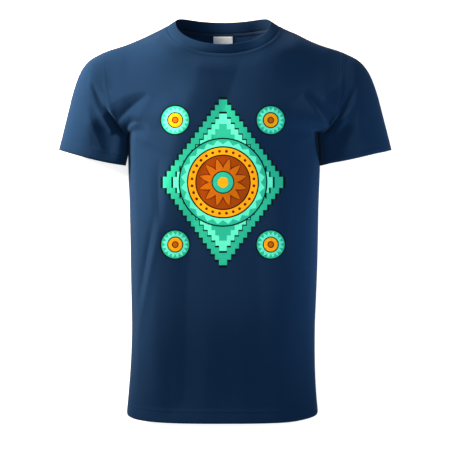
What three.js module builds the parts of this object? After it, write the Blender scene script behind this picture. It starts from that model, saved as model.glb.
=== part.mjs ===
// A short-sleeved crew-neck T-shirt of cotton jersey, lying on its back with its front up and its body
// still rounded as it was worn. Millimetres, +Z up, +Y towards the neck. The origin is on the floor under
// the middle.
import * as THREE from "three";

// Driving dimensions of the cut, seen from above
const CLOTH = 1.0; // wall of one layer of jersey
const RIB = 2.0; // wall of the folded rib
const SEAM_GAP = 0.4; // between two pieces that are sewn edge to edge
const COLLAR_GAP = 0.7; // the same at the neckline, where both pieces curl
const HEM_HALF = 173.4;
const WAIST_HALF = 165.2;
const CHEST_HALF = 171.5;
const HEM_CORNER_Y = -344;
const HEM_BOW = 22; // how much lower the middle of the hem is than its corners
const HEM_POWER = 3.2;
const WAIST_Y = -180;
const ARMPIT_Y = 160;
const NECK_HALF = 101.5;
const NECK_POINT_Y = 354; // where shoulder and collar meet
const FRONT_NECK_DROP = 51.2;
const BACK_NECK_DROP = 11.5;
const SHOULDER_TIP = [219.3, 304.2];
const SHOULDER_BEND = [
  [228, 300.5],
  [255, 289],
  [264, 266],
  [276, 222],
];
const ARMHOLE_PULL = [
  [216, 255],
  [212, 180],
];
const CUFF_OUTER = [302, 130];
const CUFF_INNER = [177.5, 101.5];
const CUFF_BOW = [238, 110.5];

// Driving dimensions of the rounding, as heights over the floor
const SIDE_SEAM_HEIGHT = 36;
const HEM_SEAM_HEIGHT = 23;
const SLEEVE_SEAM_HEIGHT = 27;
const CHEST_CROWN = 68; // how far the front stands over the side seams
const BELLY_CROWN = 61;
const HEM_CROWN = 42;
const NECK_CROWN = 46;
const SLEEVE_CROWN = 42;
const BODY_REACH = 170; // how far in from its edge the front still rises
const SLEEVE_REACH = 64;
const BACK_REACH = 50; // how far in from its edge the back still curls up
const BODY_POWER = 2.3;
const NECK_RIDGE = [15, 80]; // the shoulder is ridged this near the neck point, and round this far off

// Collar, tape and label
const COLLAR_EDGE_HALF = 86;
const COLLAR_EDGE_Y = 360;
const COLLAR_FRONT_DROP = 39;
const COLLAR_BACK_RISE = 9.88;
const COLLAR_FRONT_HEIGHT = 85;
const COLLAR_SIDE_HEIGHT = 41;
const COLLAR_BACK_HEIGHT = 4;
const TAPE_WIDTH = 7;
const TAPE_END = 3; // how many of the neckline's steps each end stays short of the shoulder seam
const TAPE_INSET = 1.2; // between the tape's upper edge and the neckline
const TAPE_WALL = 0.8;
const LABEL = { width: 35, length: 42, wall: 0.5, lift: 3 };

// Grid steps
const SHOULDER_STEPS = 6;
const NECK_STEPS = 16;
const SIDE_STEPS = 14;
const ARMHOLE_STEPS = 8;
const SLEEVE_STEPS = 6;

const vec2 = ([x, y]) => new THREE.Vector2(x, y);
const mix = THREE.MathUtils.lerp;
const smooth = THREE.MathUtils.smoothstep;
const clamp = THREE.MathUtils.clamp;

// Plan curves of the wearer's left half, where x is positive

// Half the body's width at a height y: straight in to the waist and out again to the hem
function sideHalf(y) {
  const above = Math.max(0, (y - WAIST_Y) / (ARMPIT_Y - WAIST_Y));
  const below = Math.max(0, (WAIST_Y - y) / (WAIST_Y - HEM_CORNER_Y));
  return (
    WAIST_HALF +
    (CHEST_HALF - WAIST_HALF) * above ** 1.5 +
    (HEM_HALF - WAIST_HALF) * below ** 2
  );
}

// The hem line bows down between its corners
function hemY(x) {
  const share = Math.min(1, Math.abs(x) / HEM_HALF);
  return (
    HEM_CORNER_Y - HEM_BOW * (1 - share ** HEM_POWER) ** (1 / HEM_POWER)
  );
}

// Half ellipse of the front neckline, and the shallow one of the back
function frontNeckY(x) {
  const share = Math.min(1, Math.abs(x) / NECK_HALF);
  return NECK_POINT_Y - FRONT_NECK_DROP * Math.sqrt(1 - share * share);
}
function backNeckY(x) {
  const share = Math.min(1, Math.abs(x) / NECK_HALF);
  return NECK_POINT_Y - BACK_NECK_DROP * (1 - share * share);
}

const neckPoint = [NECK_HALF, NECK_POINT_Y];
const armpit = [CHEST_HALF, ARMPIT_Y];
const armhole = new THREE.CubicBezierCurve(
  vec2(armpit),
  vec2(ARMHOLE_PULL[1]),
  vec2(ARMHOLE_PULL[0]),
  vec2(SHOULDER_TIP),
);
const cuff = new THREE.QuadraticBezierCurve(
  vec2(CUFF_INNER),
  vec2(CUFF_BOW),
  vec2(CUFF_OUTER),
);
const sleeveTop = new THREE.Path()
  .moveTo(...SHOULDER_TIP)
  .lineTo(...SHOULDER_BEND[0])
  .bezierCurveTo(...SHOULDER_BEND[1], ...SHOULDER_BEND[2], ...SHOULDER_BEND[3])
  .lineTo(...CUFF_OUTER);

// Closed edges, where front and back meet. Each runs on past the open end of its tube.
const past = ([ax, ay], [bx, by]) => vec2([2 * bx - ax, 2 * by - ay]);
const topEdge = [
  vec2(neckPoint),
  ...sleeveTop.getSpacedPoints(40),
  past(SHOULDER_BEND[3], CUFF_OUTER),
];
const sideEdge = [];
for (let y = HEM_CORNER_Y - 60; y < ARMPIT_Y; y += 20)
  sideEdge.push(vec2([sideHalf(y), y]));
const underEdge = [past(armpit, CUFF_INNER), vec2(armpit)];
sideEdge.push(vec2(armpit));

function distanceTo(line, x, y) {
  let best = Infinity;
  for (let i = 1; i < line.length; i++) {
    const a = line[i - 1];
    const b = line[i];
    const dx = b.x - a.x;
    const dy = b.y - a.y;
    const along = clamp(
      ((x - a.x) * dx + (y - a.y) * dy) / (dx * dx + dy * dy),
      0,
      1,
    );
    best = Math.min(best, Math.hypot(x - a.x - along * dx, y - a.y - along * dy));
  }
  return best;
}

// Heights

// Rises from 0 at an edge to 1 at the full reach, as a quarter of a rounded square does
function roundOver(share, power) {
  const left = 1 - clamp(share, 0, 1);
  return (1 - left ** power) ** (1 / power);
}

// The same at the shoulder line. Near the neck point the cloth is pulled to a ridge, so it starts less
// steeply.
function roundShoulder(x, y, distance, reach) {
  const share = clamp(distance / reach, 0, 1);
  const away = Math.hypot(x - NECK_HALF, y - NECK_POINT_Y);
  return mix(
    1 - (1 - share) ** 2,
    roundOver(share, 2),
    smooth(away, ...NECK_RIDGE),
  );
}

// 0 in the body and 1 in the sleeve, over a band as wide as the given numbers say
function inSleeve(x, y, from, to) {
  return smooth(x, from, to) * smooth(y, 60, ARMPIT_Y);
}

function seamHeight(x, y) {
  const body = mix(HEM_SEAM_HEIGHT, SIDE_SEAM_HEIGHT, smooth(y, -366, -150));
  return mix(body, SLEEVE_SEAM_HEIGHT, inSleeve(x, y, 180, 240));
}

function crown(x, y) {
  const body =
    HEM_CROWN +
    (BELLY_CROWN - HEM_CROWN) * smooth(y, -366, -120) +
    (CHEST_CROWN - BELLY_CROWN) * smooth(y, -120, 100) -
    (CHEST_CROWN - NECK_CROWN) * smooth(y, 150, 330);
  return mix(body, SLEEVE_CROWN, inSleeve(x, y, 150, 250));
}

function edgeDistances(x, y) {
  return [
    distanceTo(topEdge, x, y),
    Math.min(distanceTo(sideEdge, x, y), distanceTo(underEdge, x, y)),
  ];
}

function frontHeight(px, y) {
  const x = Math.abs(px);
  const [top, side] = edgeDistances(x, y);
  const sleeve = inSleeve(x, y, 150, 215);
  const rise =
    roundShoulder(x, y, top, SLEEVE_REACH) *
    roundOver(side / mix(BODY_REACH, SLEEVE_REACH, sleeve), BODY_POWER);
  return seamHeight(x, y) + crown(x, y) * rise;
}

function backHeight(px, y) {
  const x = Math.abs(px);
  const [top, side] = edgeDistances(x, y);
  const fall =
    roundShoulder(x, y, top, BACK_REACH) * roundOver(side / BACK_REACH, 2);
  return seamHeight(x, y) * (1 - fall);
}

// Patches and shells

// A grid of plan points between four edges, each given from 0 to 1. bottom and top run the same way, and so
// do left and right. across says how far each column is from left to right.
function patch(bottom, top, left, right, across, upward) {
  const [b0, b1] = [bottom[0], bottom.at(-1)];
  const [t0, t1] = [top[0], top.at(-1)];
  return upward.map((v, j) =>
    across.map((u, i) => {
      const point = new THREE.Vector2();
      for (const k of ["x", "y"])
        point[k] =
          mix(bottom[i][k], top[i][k], v) +
          mix(left[j][k], right[j][k], u) -
          mix(mix(b0[k], b1[k], u), mix(t0[k], t1[k], u), v);
      return point;
    }),
  );
}

const steps = (n, at = (t) => t) =>
  Array.from({ length: n + 1 }, (_, i) => at(i / n));
const eased = (t) => (1 - Math.cos(Math.PI * t)) / 2;
const alongLine = (a, b, n) => steps(n, (t) => vec2(a).lerp(vec2(b), t));
const mirrored = (points) => points.map((p) => vec2([-p.x, p.y]));

// The body's half of a grid's edge, from the hem corner up the side and round the armhole
function sidePoints(inset) {
  const side = steps(SIDE_STEPS, (t) => {
    const y = mix(HEM_CORNER_Y, ARMPIT_Y, t);
    return vec2([sideHalf(y), y]);
  });
  const hole = armhole.getSpacedPoints(ARMHOLE_STEPS).slice(1);
  return [...side, ...hole.map((p) => vec2([p.x - inset, p.y]))];
}

// Plan grid of the front or the back panel
function bodyPlan(neckY) {
  const columns = 2 * SHOULDER_STEPS + NECK_STEPS;
  const fractions = steps(columns, eased);
  const right = sidePoints(SEAM_GAP / 2);
  const tip = right.at(-1);
  const shoulder = alongLine([tip.x, tip.y], neckPoint, SHOULDER_STEPS);
  const neck = steps(NECK_STEPS, (t) => {
    const x = NECK_HALF * Math.cos(Math.PI * t);
    return vec2([x, neckY(x)]);
  });
  const leftward = [
    ...shoulder.slice(0, -1),
    ...neck,
    ...mirrored(shoulder).reverse().slice(1),
  ];
  const hem = fractions.map((u) => {
    const x = mix(-HEM_HALF, HEM_HALF, u);
    return vec2([x, hemY(x)]);
  });
  const rows = right.length - 1;
  return patch(
    hem,
    leftward.reverse(),
    mirrored(right),
    right,
    fractions,
    steps(rows),
  );
}

// Rows of surface points become a closed wall: the rows themselves, the same rows moved in along their
// normals, and a rim round each open edge. side is 1 or -1, whichever makes the normals point out. flatEdge
// says at which row and column the wall is level, as it is at a closed edge.
function shell(rows, wall, { side = 1, round = false, flatEdge = () => false }) {
  const nRows = rows.length;
  const nCols = rows[0].length;
  const wrap = (i) => (round ? (i + nCols) % nCols : clamp(i, 0, nCols - 1));
  const at = (j, i) => rows[clamp(j, 0, nRows - 1)][wrap(i)];
  const inner = rows.map((row, j) =>
    row.map((p, i) => {
      const across = at(j, i + 1).clone().sub(at(j, i - 1));
      const upward = at(j + 1, i).clone().sub(at(j - 1, i));
      const normal = across.cross(upward).multiplyScalar(side);
      if (flatEdge(j, i)) normal.z = 0;
      return p.clone().addScaledVector(normal.normalize(), -wall);
    }),
  );
  const points = [...rows.flat(), ...inner.flat()];
  const count = nRows * nCols;
  const index = [];
  const quad = (a, b, c, d) => {
    if (side > 0) index.push(a, b, c, a, c, d);
    else index.push(a, c, b, a, d, c);
  };
  const id = (j, i) => j * nCols + wrap(i);
  const lastCol = round ? nCols : nCols - 1;
  for (let j = 0; j < nRows - 1; j++)
    for (let i = 0; i < lastCol; i++) {
      const corners = [id(j, i), id(j, i + 1), id(j + 1, i + 1), id(j + 1, i)];
      quad(...corners);
      quad(...corners.reverse().map((k) => k + count));
    }
  for (let i = 0; i < lastCol; i++) {
    quad(id(0, i + 1), id(0, i), id(0, i) + count, id(0, i + 1) + count);
    const [a, b] = [id(nRows - 1, i), id(nRows - 1, i + 1)];
    quad(a, b, b + count, a + count);
  }
  if (!round)
    for (let j = 0; j < nRows - 1; j++) {
      quad(id(j, 0), id(j + 1, 0), id(j + 1, 0) + count, id(j, 0) + count);
      const [a, b] = [id(j, nCols - 1), id(j + 1, nCols - 1)];
      quad(b, a, a + count, b + count);
    }
  const geometry = new THREE.BufferGeometry().setFromPoints(points);
  geometry.setIndex(index);
  geometry.computeVertexNormals();
  return geometry;
}

// Materials

const jersey = new THREE.MeshStandardMaterial({
  color: 0x1d3a63,
  roughness: 0.92,
  metalness: 0,
});
const rib = new THREE.MeshStandardMaterial({
  color: 0x1f3d67,
  roughness: 0.9,
  metalness: 0,
});
const tapeCloth = new THREE.MeshStandardMaterial({
  color: 0x1a3459,
  roughness: 0.95,
  metalness: 0,
});
const labelCloth = new THREE.MeshStandardMaterial({
  color: 0xd9d8d2,
  roughness: 0.7,
  metalness: 0,
});

function named(name, geometry, material) {
  const mesh = new THREE.Mesh(geometry, material);
  mesh.name = name;
  return mesh;
}

// Pieces

function frontPanel() {
  const plan = bodyPlan(frontNeckY);
  const lift = SEAM_GAP / 2;
  const rows = plan.map((row) =>
    row.map((p) => new THREE.Vector3(p.x, p.y, frontHeight(p.x, p.y) + lift)),
  );
  const geometry = shell(rows, CLOTH, { flatEdge: onClosedEdge(rows) });
  return named("front_panel", geometry, jersey);
}

function backPanel() {
  const plan = bodyPlan(backNeckY);
  const rows = plan.map((row) =>
    row.map((p) => {
      const z = Math.max(0, backHeight(p.x, p.y) - SEAM_GAP / 2);
      return new THREE.Vector3(p.x, p.y, z);
    }),
  );
  const geometry = shell(rows, CLOTH, {
    side: -1,
    flatEdge: onClosedEdge(rows),
  });
  return named("back_panel", geometry, jersey);
}

// Side seams run up to the armpit, and shoulder seams from the neck point out
function onClosedEdge(rows) {
  const [lastRow, lastCol] = [rows.length - 1, rows[0].length - 1];
  return (j, i) =>
    (j <= SIDE_STEPS && (i === 0 || i === lastCol)) ||
    (j === lastRow && (i <= SHOULDER_STEPS || i >= lastCol - SHOULDER_STEPS));
}

// A sleeve is a tube: its front half runs from the underarm to the top fold, and its back half returns
function sleeve(name, sign) {
  const around = steps(ARMHOLE_STEPS, eased);
  const holeEdge = steps(ARMHOLE_STEPS, (t) => {
    const along = armhole.getTangentAt(t);
    const out = new THREE.Vector2(along.y, -along.x);
    return armhole.getPointAt(t).addScaledVector(out, SEAM_GAP);
  });
  const under = alongLine(
    [holeEdge[0].x, holeEdge[0].y],
    CUFF_INNER,
    SLEEVE_STEPS,
  );
  const top = sleeveTop.getSpacedPoints(SLEEVE_STEPS);
  top[0] = holeEdge.at(-1);
  const plan = patch(
    holeEdge,
    around.map((t) => cuff.getPoint(t)),
    under,
    top,
    around,
    steps(SLEEVE_STEPS),
  );
  const rows = plan.map((row) => {
    const front = row.map(
      (p) => new THREE.Vector3(sign * p.x, p.y, frontHeight(p.x, p.y)),
    );
    const back = row
      .slice(1, -1)
      .reverse()
      .map((p) => new THREE.Vector3(sign * p.x, p.y, backHeight(p.x, p.y)));
    return [...front, ...back];
  });
  return named(name, shell(rows, CLOTH, { side: -sign, round: true }), jersey);
}

// The collar is a band of rib folded double, from the neck seam to its soft fold
function collar() {
  const turn = steps(2 * NECK_STEPS, (t) => 2 * Math.PI * t).slice(0, -1);
  const seam = turn.map((a) => {
    const x = NECK_HALF * Math.cos(a);
    const isFront = Math.sin(a) < 0;
    const y = isFront ? frontNeckY(x) : backNeckY(x);
    const z = isFront ? frontHeight(x, y) : backHeight(x, y);
    return new THREE.Vector3(x, y, z);
  });
  const fold = turn.map((a) => {
    const [c, s] = [Math.cos(a), Math.sin(a)];
    const x = COLLAR_EDGE_HALF * c;
    if (s < 0)
      return new THREE.Vector3(
        x,
        COLLAR_EDGE_Y + COLLAR_FRONT_DROP * s,
        mix(COLLAR_SIDE_HEIGHT, COLLAR_FRONT_HEIGHT, -s),
      );
    const rise = COLLAR_BACK_RISE * c * c * Math.sqrt(1 - c ** 8);
    return new THREE.Vector3(
      x,
      COLLAR_EDGE_Y + rise,
      mix(COLLAR_SIDE_HEIGHT, COLLAR_BACK_HEIGHT, s),
    );
  });
  const start = seam.map((p, i) => {
    const gap = fold[i].clone().sub(p).setLength(COLLAR_GAP);
    return p.clone().add(gap);
  });
  const rows = [0, 0.5, 1].map((share) =>
    start.map((p, i) => p.clone().lerp(fold[i], share)),
  );
  return named("rib_collar", shell(rows, RIB, { side: 1, round: true }), rib);
}

// A point over the inside of the back panel, at a height above the cloth
function insideBack(x, y, over) {
  const step = 0.5;
  const slope = (dx, dy) =>
    (backHeight(x + dx, y + dy) - backHeight(x - dx, y - dy)) / (2 * step);
  const normal = new THREE.Vector3(-slope(step, 0), -slope(0, step), 1);
  return new THREE.Vector3(x, y, backHeight(x, y)).addScaledVector(
    normal.normalize(),
    over,
  );
}

// The tape covers the back neck seam from the inside
function neckTape() {
  const columns = NECK_STEPS - 2 * TAPE_END;
  const rows = [TAPE_INSET + TAPE_WIDTH, TAPE_INSET].map((below) =>
    steps(columns, (t) => {
      const turn = (TAPE_END + columns * t) / NECK_STEPS;
      const x = -NECK_HALF * Math.cos(Math.PI * turn);
      return insideBack(x, backNeckY(x) - below, CLOTH + COLLAR_GAP + TAPE_WALL);
    }),
  );
  return named("neck_tape", shell(rows, TAPE_WALL, {}), tapeCloth);
}

// The label hangs from the tape and lies on the inside of the back
function neckLabel() {
  const top = backNeckY(0) - TAPE_INSET - TAPE_WIDTH - SEAM_GAP;
  const rows = steps(4, (t) => {
    const y = top - LABEL.length * (1 - t);
    const z = CLOTH + SEAM_GAP + LABEL.wall + LABEL.lift * (1 - t) ** 2;
    return [-0.5, 0.5].map((k) => new THREE.Vector3(k * LABEL.width, y, z));
  });
  return named("neck_label", shell(rows, LABEL.wall, {}), labelCloth);
}

const shirt = new THREE.Group();
shirt.add(
  frontPanel(),
  backPanel(),
  sleeve("left_sleeve", 1),
  sleeve("right_sleeve", -1),
  collar(),
  neckTape(),
  neckLabel(),
);

export default shirt;
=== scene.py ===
import math
from functools import partialmethod

import bpy
import numpy as np
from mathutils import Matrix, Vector


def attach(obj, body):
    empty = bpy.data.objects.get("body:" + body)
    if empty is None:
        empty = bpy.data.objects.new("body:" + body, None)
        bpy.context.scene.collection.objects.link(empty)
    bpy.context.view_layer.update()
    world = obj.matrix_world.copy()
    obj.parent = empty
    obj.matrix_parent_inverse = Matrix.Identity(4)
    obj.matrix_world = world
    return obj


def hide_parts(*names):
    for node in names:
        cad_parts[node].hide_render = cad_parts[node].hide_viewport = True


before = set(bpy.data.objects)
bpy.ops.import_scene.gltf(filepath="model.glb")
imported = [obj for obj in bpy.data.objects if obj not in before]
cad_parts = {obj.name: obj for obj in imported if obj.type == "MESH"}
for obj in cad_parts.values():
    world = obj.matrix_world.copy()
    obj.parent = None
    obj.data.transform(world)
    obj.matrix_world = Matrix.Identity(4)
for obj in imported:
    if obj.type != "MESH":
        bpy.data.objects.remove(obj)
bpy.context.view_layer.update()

# The camera looks square at the front of the shirt. The shirt lies on its back, so that is straight down,
# with the neck at the top of the picture.
MM = 0.001  # the shirt's lengths are in millimetres, as a cutter gives them, and meshes are in metres
PIXEL = 1.8136  # cloth under one pixel, at the side seams' height
PICTURE_SIDE = 450  # pixels
PICTURE_CENTRE = (3.6, -6.8)
SIDE_SEAM_HEIGHT = 36
CAMERA_DISTANCE = 8000
SENSOR = 36.0


def in_scene(name, data):
    """A new object at the scene's origin."""
    item = bpy.data.objects.new(name, data)
    bpy.context.scene.collection.objects.link(item)
    return item


camera = in_scene("camera", bpy.data.cameras.new("camera"))
camera.data.sensor_width = SENSOR
camera.data.lens = SENSOR * CAMERA_DISTANCE / (PIXEL * PICTURE_SIDE)
camera.location = MM * np.array((*PICTURE_CENTRE, SIDE_SEAM_HEIGHT + CAMERA_DISTANCE))
bpy.context.scene.camera = camera
bpy.context.scene.view_settings.view_transform = "Standard"

# The front is one panel of cotton jersey, cut with a deep round neckline and curved armholes at the sides.
# Its lower edge is turned up inside and held by a twin-needle hem, and a flat print lies on the chest.
CLOTH = 0.7
HEM_HALF = 173.4
WAIST_HALF = 165.2
CHEST_HALF = 171.5
HEM_CORNER_Y = -344
HEM_BOW = 22
HEM_POWER = 3.2
HEM_Y = HEM_CORNER_Y - HEM_BOW
WAIST_Y = -180
ARMPIT_Y = 160
CHEST_FLARE_POWER = 0.9
HEM_FLARE_POWER = 2
SIDE_SWELL = 1.3
SIDE_SWELL_START = (20, 100)
SIDE_SWELL_END = 38
NECK_HALF = 101.5
NECK_POINT_Y = 354
FRONT_NECK_DROP = 51.2
SHOULDER_TIP = (219.3, 304.2)
SHOULDER_SAG = 3.4
SHOULDER_BEND = ((228, 300.5), (256, 290), (266.5, 267), (279, 222))
ARMHOLE_PULL = ((212, 180), (216, 255))
UNDERARM_BEND = (172.3, 122)
CUFF_OUTER = (302, 130)
CUFF_INNER = (176.5, 101.5)
ARMPIT = (CHEST_HALF, ARMPIT_Y)
EDGE_STEP = 4  # from point to point of the side edge
EDGE_PAST_HEM = 60


def smooth(value, low, high):
    """0 below low and 1 above high, and between them three squares less two cubes of the share."""
    share = np.clip((value - low) / (high - low), 0, 1)
    return share * share * (3 - 2 * share)


def bell(value, centre, width):
    """1 at the centre, and falls away as the exponential of minus the square of distance over width."""
    return np.exp(-(((value - centre) / width) ** 2))


def mix(a, b, share):
    """The point a share of the way from a to b."""
    return a + (b - a) * share


def bezier(points, t):
    """Bezier curve through the first and the last point: neighbours are mixed until one point is left."""
    points = [np.asarray(p, float)[None, :] for p in points]
    while len(points) > 1:
        points = [mix(a, b, t[:, None]) for a, b in zip(points, points[1:])]
    return points[0]


def at_share(line, share, values=None):
    """Values at these shares of a polyline's length: its own points, or others given for each of them."""
    values = line if values is None else values
    steps = np.linalg.norm(np.diff(line, axis=0), axis=1)
    run = np.concatenate(([0], np.cumsum(steps))) / steps.sum()
    return np.stack([np.interp(share, run, values[:, k]) for k in range(values.shape[1])], -1)


def nearest(line, x, y):
    """Each point's distance from a polyline, at which share of its length, and on which side: 1 is square
    to its left, -1 square to its right, and between them it lies past an end."""
    a, b = line[:-1], line[1:]
    edge = b - a
    dx = x.reshape(-1, 1) - a[:, 0]
    dy = y.reshape(-1, 1) - a[:, 1]
    along = np.clip((dx * edge[:, 0] + dy * edge[:, 1]) / (edge**2).sum(1), 0, 1)
    far = np.hypot(dx - along * edge[:, 0], dy - along * edge[:, 1])
    best = far.argmin(1)
    row = np.arange(len(best))
    length = np.hypot(*edge.T)
    run = np.concatenate(([0], np.cumsum(length)[:-1]))
    share = (run[best] + along[row, best] * length[best]) / length.sum()
    cross = edge[best, 0] * dy[row, best] - edge[best, 1] * dx[row, best]
    lean = cross / length[best] / np.maximum(far[row, best], 1e-6)
    return far[row, best].reshape(x.shape), share.reshape(x.shape), lean.reshape(x.shape)


def side_half(y):
    """Half the body's width: almost straight in from the armpit to the waist, with a low swell under the
    arm, and out again to the hem."""
    above = np.maximum(0, (y - WAIST_Y) / (ARMPIT_Y - WAIST_Y)) ** CHEST_FLARE_POWER
    below = np.maximum(0, (WAIST_Y - y) / (WAIST_Y - HEM_CORNER_Y)) ** HEM_FLARE_POWER
    swell = SIDE_SWELL * smooth(y, *SIDE_SWELL_START) * np.clip((ARMPIT_Y - y) / SIDE_SWELL_END, 0, 1)
    return WAIST_HALF + (CHEST_HALF - WAIST_HALF) * above + (HEM_HALF - WAIST_HALF) * below + swell


def hem_y(x):
    """The hem bows down between its corners, as a rounded square does."""
    share = np.minimum(1, np.abs(x) / HEM_HALF)
    return HEM_CORNER_Y - HEM_BOW * (1 - share**HEM_POWER) ** (1 / HEM_POWER)


def shoulder_line(share):
    """From the neck point to the shoulder's tip, sagging a little as a parabola does."""
    line = mix(np.array((NECK_HALF, NECK_POINT_Y)), np.array(SHOULDER_TIP), share[:, None])
    return line - np.stack((0 * share, 4 * SHOULDER_SAG * share * (1 - share)), -1)


def front_neck_y(x):
    """Half an ellipse under the neck points."""
    return NECK_POINT_Y - FRONT_NECK_DROP * np.sqrt(1 - np.minimum(1, (x / NECK_HALF) ** 2))


fine = np.linspace(0, 1, 161)
coarse = fine[::4]
neck_x = NECK_HALF * np.cos(np.pi * fine)
front_neck_line = np.stack((neck_x, front_neck_y(neck_x)), -1)
armhole_line = bezier((ARMPIT, *ARMHOLE_PULL, SHOULDER_TIP), fine)
top_fold_line = np.vstack(([SHOULDER_TIP], bezier(SHOULDER_BEND, coarse), [CUFF_OUTER]))
underarm_line = np.array((ARMPIT, UNDERARM_BEND, CUFF_INNER))

# The closed edges of the body and the sleeve. They run on past the hem and past the cuff.
past_cuff = 2 * np.array(CUFF_OUTER) - SHOULDER_BEND[-1]
past_underarm = 2 * np.array(CUFF_INNER) - UNDERARM_BEND
side_y = np.arange(HEM_CORNER_Y - EDGE_PAST_HEM, ARMPIT_Y + 1, EDGE_STEP)
side_y = np.union1d(side_y, ARMPIT_Y - SIDE_SWELL_END)
top_edge = np.vstack((shoulder_line(coarse), top_fold_line[1:], [past_cuff]))
side_edge = np.stack((side_half(side_y), side_y), -1)
under_edge = np.vstack((underarm_line, [past_underarm]))

# Heights over the floor of the closed edges, and how far the front stands over them
HEM_SEAM_HEIGHT = 23
SLEEVE_SEAM_HEIGHT = 27
CHEST_CROWN = 68
BELLY_CROWN = 61
HEM_CROWN = 42
NECK_CROWN = 46
SLEEVE_CROWN = 38
BARREL = 12
SEAM_RISE_END_Y = -150
BELLY_Y = -120
CHEST_Y = 100
NECK_SLOPE = (150, 330)
BARREL_HALF = 190
SLEEVE_CROWN_HALF = 240
SLEEVE_CROWN_START_Y = -20
# How far in from the edges the cloth rounds over, by which power, and the bands over which these change
CHEST_REACH = 130
BELLY_REACH = 95
SHOULDER_REACH = 150
NECK_REACH = 64
SLEEVE_REACH = 64
UNDERARM_REACH = 84
BODY_POWER = 2.3
SHOULDER_POWER = 1.7
UNDERARM_POWER = 1.5
NECK_RIDGE = (15, 80)
NECK_TO_SHOULDER = (40, 120)
BELLY_TO_CHEST = (-40, 130)
SLEEVE_START_Y = 60
SEAM_BAND = (180, 240)
SHOULDER_BAND = (190, 245)
UNDERARM_BAND = (150, 215)
UNDERARM_POWER_BAND = (165, 215)
ARMPIT_LIFT = 1.8
EDGE_SNAP = 0.01
MIDDLE_ROUNDING = 40


def round_over(share, power):
    """Rises from 0 at an edge to 1 at the full reach, as a quarter of a rounded square does."""
    left = 1 - np.clip(share, 0, 1)
    return (1 - left**power) ** (1 / power)


def round_shoulder(x, y, distance, reach):
    """The same at the shoulder line, but less steep at first near the neck point, where it is a ridge."""
    share = np.clip(distance / reach, 0, 1)
    away = np.hypot(x - NECK_HALF, y - NECK_POINT_Y)
    return mix(1 - (1 - share) ** 2, round_over(share, SHOULDER_POWER), smooth(away, *NECK_RIDGE))


def in_sleeve(x, y, band):
    """0 in the body and 1 in the sleeve, over a band of x."""
    return smooth(x, *band) * smooth(y, SLEEVE_START_Y, ARMPIT_Y)


def seam_height(x, y):
    """How high the closed edges of the shirt lie over the floor."""
    body = mix(HEM_SEAM_HEIGHT, SIDE_SEAM_HEIGHT, smooth(y, HEM_Y, SEAM_RISE_END_Y))
    return mix(body, SLEEVE_SEAM_HEIGHT, in_sleeve(x, y, SEAM_BAND))


def crown(x, y):
    """How far the front stands over its closed edges, where it is highest: most in the middle of the
    chest, less towards the sleeves, the neck and the hem."""
    body = (
        HEM_CROWN
        + (BELLY_CROWN - HEM_CROWN) * smooth(y, HEM_Y, BELLY_Y)
        + (CHEST_CROWN - BELLY_CROWN) * smooth(y, BELLY_Y, CHEST_Y)
        - (CHEST_CROWN - NECK_CROWN) * smooth(y, *NECK_SLOPE)
        - BARREL * smooth(x, 0, BARREL_HALF) * smooth(y, *NECK_SLOPE[::-1])
    )
    sleeve = smooth(x, 0, SLEEVE_CROWN_HALF) * smooth(y, SLEEVE_CROWN_START_Y, ARMPIT_Y)
    return mix(body, SLEEVE_CROWN, sleeve)


def edge_distances(x, y):
    """Distances to the shoulder edge and to the side or underarm edge. Above the armpit the second one
    grows faster, because the cloth there is carried up into the sleeve. Within EDGE_SNAP it is 0."""
    side = np.minimum(nearest(side_edge, x, y)[0], nearest(under_edge, x, y)[0])
    side = np.maximum(0, side - EDGE_SNAP)
    return nearest(top_edge, x, y)[0], np.hypot(side, ARMPIT_LIFT * np.maximum(0, y - ARMPIT_Y))


def from_middle(x):
    """Distance from the shirt's middle line, with a parabola beside it, so that no crease is there."""
    x = np.abs(x)
    return x + np.maximum(0, MIDDLE_ROUNDING - x) ** 2 / (2 * MIDDLE_ROUNDING)


def front_height(x, y):
    """Closed edge's height, plus the crown times the rounding at the shoulder and at the side."""
    x = from_middle(x)
    top, side = edge_distances(x, y)
    away = np.hypot(x - NECK_HALF, y - NECK_POINT_Y)
    body_top = mix(NECK_REACH, SHOULDER_REACH, smooth(away, *NECK_TO_SHOULDER))
    top_reach = mix(body_top, SLEEVE_REACH, in_sleeve(x, y, SHOULDER_BAND))
    body_reach = mix(BELLY_REACH, CHEST_REACH, smooth(y, *BELLY_TO_CHEST))
    side_reach = mix(body_reach, UNDERARM_REACH, in_sleeve(x, y, UNDERARM_BAND))
    side_power = mix(BODY_POWER, UNDERARM_POWER, in_sleeve(x, y, UNDERARM_POWER_BAND))
    rise = round_shoulder(x, y, top, top_reach) * round_over(side / side_reach, side_power)
    return seam_height(x, y) + crown(x, y) * rise


CREASE_POINTS = 33  # along the curve of each fold


def crease(x, y, path, depth, left, right, taper=(1, 1, 0), bottom=0.8, power=1.4):
    """A valley along a curve: depth times (1 - distance / width) to a power, with a rounded bottom. left
    and right are the widths on its two sides, each at the curve's start and at its end, and taper is the
    share of the depth at its start, middle and end. A ridge has a negative depth."""
    line = bezier(path, np.linspace(0, 1, CREASE_POINTS))
    far, share, lean = nearest(line, x, y)
    width = mix(mix(*right, share), mix(*left, share), 0.5 + 0.5 * lean)
    strength = mix(mix(taper[0], taper[1], share), mix(taper[1], taper[2], share), share)
    fall = np.clip((np.sqrt(far**2 + bottom**2) - bottom) / width, 0, 1)
    return -depth * strength * (1 - fall) ** power


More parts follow.
